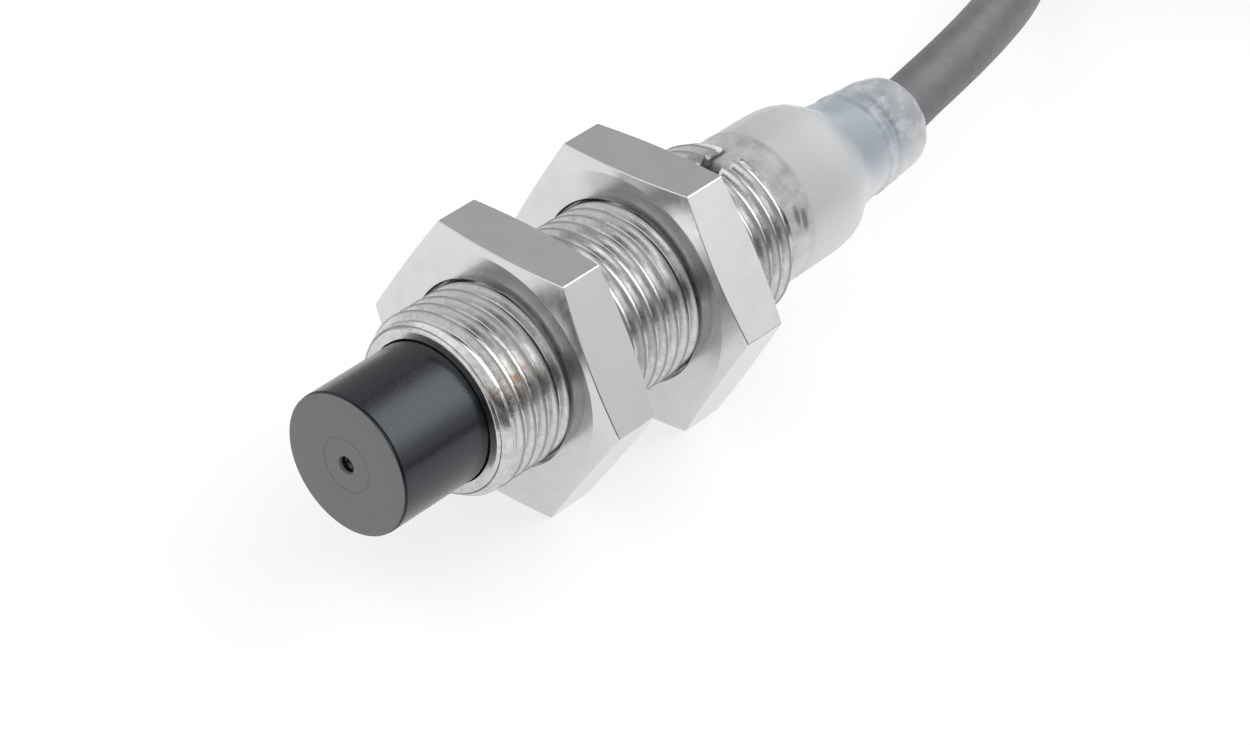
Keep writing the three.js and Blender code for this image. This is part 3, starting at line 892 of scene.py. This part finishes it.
def nut_outline():
    """The hexagon's points in order, as (turn, radius), with slightly rounded corners."""
    half = NUT_ACROSS_FLATS / 2
    corner_turn = math.pi / 6
    blunt, steps = 0.05, 24
    outline = []
    for side in range(6):
        middle = side * math.pi / 3
        reach = half * math.tan(corner_turn) - blunt
        for k in range(steps + 1):
            across = -reach + 2 * reach * k / steps
            outline.append((middle + math.atan2(across, half), math.hypot(across, half)))
        tip = half / math.cos(corner_turn) - 0.15 * blunt
        outline.append((middle + corner_turn, tip - 0.1 * blunt))
    return outline


def make_nut(name, turn, flats, ends):
    """A thin hexagon nut: outside a flat disc, a cone drops each face towards the corners. The bore's
    mouth is countersunk, and every edge is softened."""
    front = NODE_BOX[name][0].y
    disc, drop = 8.05, 0.39
    bore, mouth, mouth_depth = 6.12, 6.24, 0.15
    corner = NUT_ACROSS_FLATS / math.sqrt(3)
    slope = drop / (corner - disc)
    soft = 0.05
    outline = nut_outline()

    def face_ring(distance):
        """The face's points at a fixed radius, or soft inside the outline for None."""
        ring = []
        for angle, radius in outline:
            r = radius - soft if distance is None else min(distance, radius - soft)
            depth = slope * max(0.0, r - disc)
            ring.append((angle, r, depth))
        return ring

    face = [[(angle, bore, mouth_depth) for angle, _ in outline]]
    face += [face_ring(r) for r in (mouth, 6.6, 7.3, disc - 0.06, disc, disc + 0.06, 8.3)]
    face.append(face_ring(None))
    edge = []
    for share in (0.35, 1.0):
        ring = []
        for angle, radius in outline:
            depth = slope * max(0.0, radius - disc)
            r = radius - soft * (1 - share) * 0.55
            ring.append((angle, r, depth + soft * share * 0.9))
        edge.append(ring)
    half = face + edge
    rings = []
    for ring in half:
        rings.append([on_axis(r, a + turn, front + d) for a, r, d in ring])
    for ring in reversed(half):
        back = front + NUT_THICKNESS
        rings.append([on_axis(r, a + turn, back - d) for a, r, d in ring])
    turned_bands = len(face) - 1
    last_flat_band = len(rings) - 2 - turned_bands

    def band_material(k):
        return 0 if turned_bands <= k <= last_flat_band else 1

    points, faces, indices = skin(rings, loop=True, band_material=band_material)
    nut = mesh_object(name + "_body", points, faces, [flats, ends], indices)
    sharp_at(nut, 11)
    return give(nut, name, "nickel_nut", name)


def make_clamp(plastic):
    """The cable clamp: a keyed spigot, a body that steps down to a tapering neck, and an end collar."""
    outside = [
        (4.6, CLAMP_FRONT_Y),
        (4.6, 34.8),
        (5.06, 34.8),
        (5.2, 34.88),
        (5.23, 35.05),
        (5.19, 35.45),
        (5.24, 35.75),
        (5.18, 36.2),
        (5.24, 36.6),
        (5.17, 36.95),
        (5.25, 37.12),
        (5.24, 37.3),
        (5.23, 39.5),
        (5.22, 41),
        (5.18, 41.6),
        (5.09, 42.15),
        (4.93, 42.65),
        (4.7, 43.1),
        (4.38, 43.6),
        (4.12, 43.95),
        (3.95, 44.3),
        (3.82, 44.75),
        (3.74, 45.4),
        (3.62, 46.4),
        (3.53, 47.05),
        (3.5, 47.22),
        (3.62, 47.4),
        (3.63, 47.6),
        (3.5, 47.8),
        (3.42, 48.3),
        (3.3, 48.52),
        (3.42, 48.7),
        (3.49, 48.95),
        (3.44, 49.3),
        (3.36, 49.45),
        (3.42, 49.7),
        (3.38, 50.4),
        (3.28, 51.1),
        (3.18, 51.6),
        (3.0, 51.88),
        (2.75, CLAMP_BACK_Y),
    ]
    inside = [
        (2.2, CLAMP_BACK_Y),
        (2.08, CLAMP_BACK_Y - 0.15),
        (2.08, 46),
        (2.08, 43.9),
        (2.4, 43.6),
        (3.2, 42.6),
        (4.0, 41.4),
        (4.1, 41),
        (4.1, 36),
        (4.1, CLAMP_FRONT_Y),
    ]

    def uneven(turn, radius, y):
        if y < 36 or radius < 3 and y < CLAMP_BACK_Y:
            return 0.0, 0.0
        place = Vector((1.2 * math.sin(turn), y * 0.35, 1.2 * math.cos(turn)))
        wider = 0.035 * noise.noise(place)
        if y > 47:
            wider += 0.07 * noise.noise(Vector((place.x * 2.5, y * 1.1, place.z * 2.5)))
        further = 0.22 * noise.noise(place * 1.7) if 47 < y < 50 else 0.0
        return wider, further

    clamp = turned("clamp", outside + inside, [plastic], 128, wobble=uneven)
    sharp_at(clamp, 50)
    give(clamp, "sensor", "clamp_plastic", "cable_clamp")
    low, high = (-0.64, 33.2, 4.62), (0.64, 34.85, 5.4)
    key = bevelled_box("clamp_key", low, high, 0.24, plastic, KEYWAY_TURN)
    give(key, "sensor", "clamp_plastic")


def make_conductors(colours):
    """The cable's three conductors between the sheath's cut end and the board's pads."""
    routes = {
        "brown": [(-0.74, 43.9, -0.42), (-0.74, 43.2, -0.42), (-1.25, 41.8, 0.1), (-2.1, 40.3, 1)],
        "blue": [(0, 43.9, 0.85), (0, 43.2, 0.85), (-0.1, 41.8, 1.15), (-0.55, 40.3, 1.3)],
        "black": [(0.74, 43.9, -0.42), (0.74, 43.2, -0.42), (1, 41.8, 0), (1.1, 40.3, 1.05)],
    }
    pads, on_board = {"brown": -2.3, "blue": -0.6, "black": 1.1}, 1.25
    for name, material in colours.items():
        route = routes[name] + [(pads[name], 38.8, on_board), (pads[name], 36.8, on_board)]
        wire = smooth_curve("wire_" + name, route, 0.6, material)
        give(wire, "sensor", name, "conductor_" + name)


def soften(name, material, slot, bevel):
    """A finer copy of a small CAD node, with rounded edges, that stands for it."""
    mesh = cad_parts[name].data.copy()
    made = bmesh.new()
    made.from_mesh(mesh)
    bmesh.ops.remove_doubles(made, verts=made.verts, dist=1e-7)
    bmesh.ops.dissolve_limit(made, angle_limit=0.02, verts=made.verts, edges=made.edges)
    sharp = [e for e in made.edges if len(e.link_faces) == 2 and e.calc_face_angle(0) > 0.6]
    bmesh.ops.bevel(
        made,
        geom=sharp,
        offset=bevel * MM,
        segments=2,
        profile=0.5,
        affect="EDGES",
        clamp_overlap=True,
    )
    for face in made.faces:
        face.smooth = True
    made.to_mesh(mesh)
    made.free()
    mesh.materials.clear()
    mesh.materials.append(material)
    piece = bpy.data.objects.new(name + "_piece", mesh)
    bpy.context.scene.collection.objects.link(piece)
    sharp_at(piece, 35)
    return give(piece, "sensor", slot, name)


def make_inside():
    """The coil set, the board with its parts, and the resin."""
    chip = moulded("chip_epoxy", (0.02, 0.02, 0.022), 0.5)
    copper = metal("enamelled_copper", (0.75, 0.33, 0.13), 0.3, 0.1)
    ceramic = moulded("ceramic", (0.38, 0.27, 0.17), 0.45)
    resin = moulded("resin", (0.03, 0.028, 0.035), 0.35, 0.3)
    looks = {
        "ferrite_core": (moulded("ferrite", (0.03, 0.03, 0.033), 0.7), "ferrite", 0.06),
        "coil_bobbin": (moulded("bobbin", (0.75, 0.7, 0.6), 0.45), "bobbin_plastic", 0.05),
        "coil_winding": (copper, "copper", 0.12),
        "coil_wire_start": (copper, "copper", 0.02),
        "coil_wire_end": (copper, "copper", 0.02),
        "front_resin_plug": (resin, "resin", 0.08),
        "barrel_resin": (resin, "resin", 0.08),
        "circuit_board": (moulded("solder_mask", (0.02, 0.14, 0.06), 0.35), "board", 0.05),
        "sensor_ic": (chip, "chip", 0.06),
        "output_transistor": (chip, "chip", 0.05),
        "protection_diode": (chip, "chip", 0.08),
        "sensitivity_resistor": (chip, "chip", 0.04),
        "led_resistor": (chip, "chip", 0.04),
        "oscillator_capacitor": (ceramic, "ceramic", 0.08),
        "supply_capacitor": (ceramic, "ceramic", 0.1),
        "indicator_led": (moulded("led_lens", (0.07, 0.045, 0.035), 0.2), "led", 0.08),
    }
    for name, (material, slot, bevel) in looks.items():
        soften(name, material, slot, bevel)


# ---------------------------------------------------------------- surroundings


def staged_sheet(name, corners, height, material):
    """A flat sheet of the set, lying at a height over the floor."""
    mesh = bpy.data.meshes.new(name)
    points = [Vector((x, y, FLOOR_Z + height)) * MM for x, y in corners]
    faces = [tuple(range(len(corners)))]
    mesh.from_pydata(points, [], faces)
    mesh.materials.append(material)
    sheet = bpy.data.objects.new(name, mesh)
    bpy.context.scene.collection.objects.link(sheet)
    sheet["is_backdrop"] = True
    return sheet


def make_floor():
    """A white sheet that glows a little, so that the shadows on it stay faint, and black cards on it,
    in front and to the right, that only the reflections see."""
    paper = Nodes("floor_paper", (0.3, 0.3, 0.3), 0.9)
    paper.set("Emission Color", (1, 1, 1, 1)).set("Emission Strength", 0.72)
    paper.set("Specular IOR Level", 0.0)
    reach = 3000
    corners = [(-reach, -reach), (reach, -reach), (reach, reach), (-reach, reach)]
    staged_sheet("floor", corners, 0, paper.material)
    black = Nodes("black_card", (0.02, 0.02, 0.02), 0.9).material
    cards = {
        "card_front": [(30, -8), (62, 24), (500, -100), (200, -240)],
        "card_right": [(62, 24), (10, 104), (300, 500), (500, -100)],
        "card_low": [(14, -20), (30, -8), (200, -240), (36, -110)],
    }
    for name, corners in cards.items():
        card = staged_sheet(name, corners, 0.2, black)
        card.visible_camera = False
        card.visible_diffuse = False
        card.visible_transmission = False
        card.visible_shadow = False


class Sky:
    """The studio round the sensor, as a radiance for each direction."""

    def __init__(self, radiance):
        world = bpy.data.worlds.new("studio")
        bpy.context.scene.world = world
        world.use_nodes = True
        self.tree = world.node_tree
        place = self.tree.nodes.new("ShaderNodeTexCoord")
        self.direction = place.outputs["Generated"]
        self.total = radiance

    def along(self, vector):
        inputs = {0: self.direction, 1: tuple(vector)}
        node = add_node(self.tree, "ShaderNodeVectorMath", inputs, operation="DOT_PRODUCT")
        return node.outputs["Value"]

    def maths(self, operation, one, two):
        inputs = {0: one, 1: two}
        return add_node(self.tree, "ShaderNodeMath", inputs, operation=operation).outputs["Value"]

    def ramp(self, value, start, end, low=0.0, high=1.0, kind="LINEAR"):
        """low up to start, high from end on."""
        inputs = dict(enumerate((value, start, end, low, high)))
        node = add_node(self.tree, "ShaderNodeMapRange", inputs, interpolation_type=kind)
        return node.outputs["Result"]

    def window(self, direction, reach, soft):
        """1 inside a rectangle round that direction, 0 outside it, and the height in it. The
        direction is an azimuth, where 0 is +Y and 90 is +X, and an elevation. The reach is to the
        left, right, down and up. All six are in degrees."""
        a, e = (math.radians(angle) for angle in direction)
        centre = Vector((math.sin(a) * math.cos(e), math.cos(a) * math.cos(e), math.sin(e)))
        rightwards = Vector((math.cos(a), -math.sin(a), 0))
        upwards = rightwards.cross(centre)
        ahead = self.along(centre)
        sideways = self.maths("DIVIDE", self.along(rightwards), ahead)
        height = self.maths("DIVIDE", self.along(upwards), ahead)
        left, right, down, up = (math.tan(math.radians(angle)) for angle in reach)
        mask = self.ramp(ahead, 0.02, 0.06, kind="SMOOTHSTEP")
        for value, low, high in ((sideways, -left, right), (height, -down, up)):
            within = self.ramp(value, low - soft, low + soft, kind="SMOOTHSTEP")
            beyond = self.ramp(value, high - soft, high + soft, kind="SMOOTHSTEP")
            mask = self.maths("MULTIPLY", mask, within)
            mask = self.maths("MULTIPLY", mask, self.maths("SUBTRACT", 1.0, beyond))
        return mask, height

    def replace(self, mask, radiance):
        """Inside the mask, the radiance so far gives way to this one."""
        kept = self.maths("MULTIPLY", self.total, self.maths("SUBTRACT", 1.0, mask))
        self.total = self.maths("ADD", kept, self.maths("MULTIPLY", mask, radiance))

    def pane(self, radiance, direction, reach, soft):
        self.replace(self.window(direction, reach, soft)[0], radiance)

    def show_white(self):
        """Lights the set with the radiance, while the camera sees plain white."""
        nodes, link = self.tree.nodes, self.tree.links.new
        studio = next(n for n in nodes if n.type == "BACKGROUND")
        white = nodes.new("ShaderNodeBackground")
        rays = nodes.new("ShaderNodeLightPath")
        either = nodes.new("ShaderNodeMixShader")
        output = next(n for n in nodes if n.type == "OUTPUT_WORLD")
        for background in (studio, white):
            background.inputs["Color"].default_value = (1, 1, 1, 1)
        link(self.total, studio.inputs["Strength"])
        link(rays.outputs["Is Camera Ray"], either.inputs[0])
        link(studio.outputs[0], either.inputs[1])
        link(white.outputs[0], either.inputs[2])
        link(either.outputs[0], output.inputs["Surface"])


def light_the_set():
    """A pale tent, dimmer at the back left and bright over the front, with dark openings overhead and
    to the front right. A large softbox stands behind to the right: it fades towards its lower edge,
    which a dark gap interrupts."""
    dark = 0.03
    sky = Sky(0.78)
    sky.pane(0.5, (-40, 30), (50, 60, 60, 25), 0.1)
    sky.pane(1.2, (215, 60), (48, 45, 24, 22), 0.08)
    sky.pane(dark, (-15, 54), (11, 60, 26, 20), 0.03)
    sky.pane(dark, (-15, 76), (11, 7, 14, 10), 0.04)
    sky.pane(dark, (112, 12), (46, 36, 60, 7), 0.1)
    softbox, height = sky.window((28, 28), (44, 40, 40, 29.2), 0.018)
    lower = sky.ramp(height, -0.5, -0.26, 0.7, 0.95)
    upper = sky.ramp(height, -0.26, 0.08, 0.0, 2.15)
    sky.replace(softbox, sky.maths("ADD", lower, upper))
    sky.pane(0.06, (3, 4), (17, 17, 14, 9), 0.03)
    sky.show_white()


scene = bpy.context.scene
scene.view_settings.view_transform = "Standard"
scene.cycles.use_denoising = True
aim_camera()

wires = {
    "brown": wire_pvc("brown_pvc", (0.16, 0.06, 0.025)),
    "blue": wire_pvc("blue_pvc", (0.02, 0.08, 0.33)),
    "black": wire_pvc("black_pvc", (0.012, 0.012, 0.013)),
}
cable = make_cable(cable_pvc())
tie_pieces = make_tie(moulded("tie_nylon", (0.02, 0.02, 0.021), 0.45))
lead_pieces = make_leads(wires, metal("tinned_copper", (0.7, 0.69, 0.67), 0.35))

make_cap(cap_side_plastic(), cap_face_plastic())
make_barrel(thread_nickel())
flats, ends = nut_nickel(), nut_face_nickel()
make_nut("front_nut", FRONT_NUT_TURN, flats, ends)
make_nut("rear_nut", 0.0, flats, ends)
make_clamp(clamp_plastic())
make_conductors(wires)
make_inside()

make_floor()
light_the_set()

corners = {"cad": cad_box, "visual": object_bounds()}
{k: [list(c) for c in v] for k, v in corners.items()}
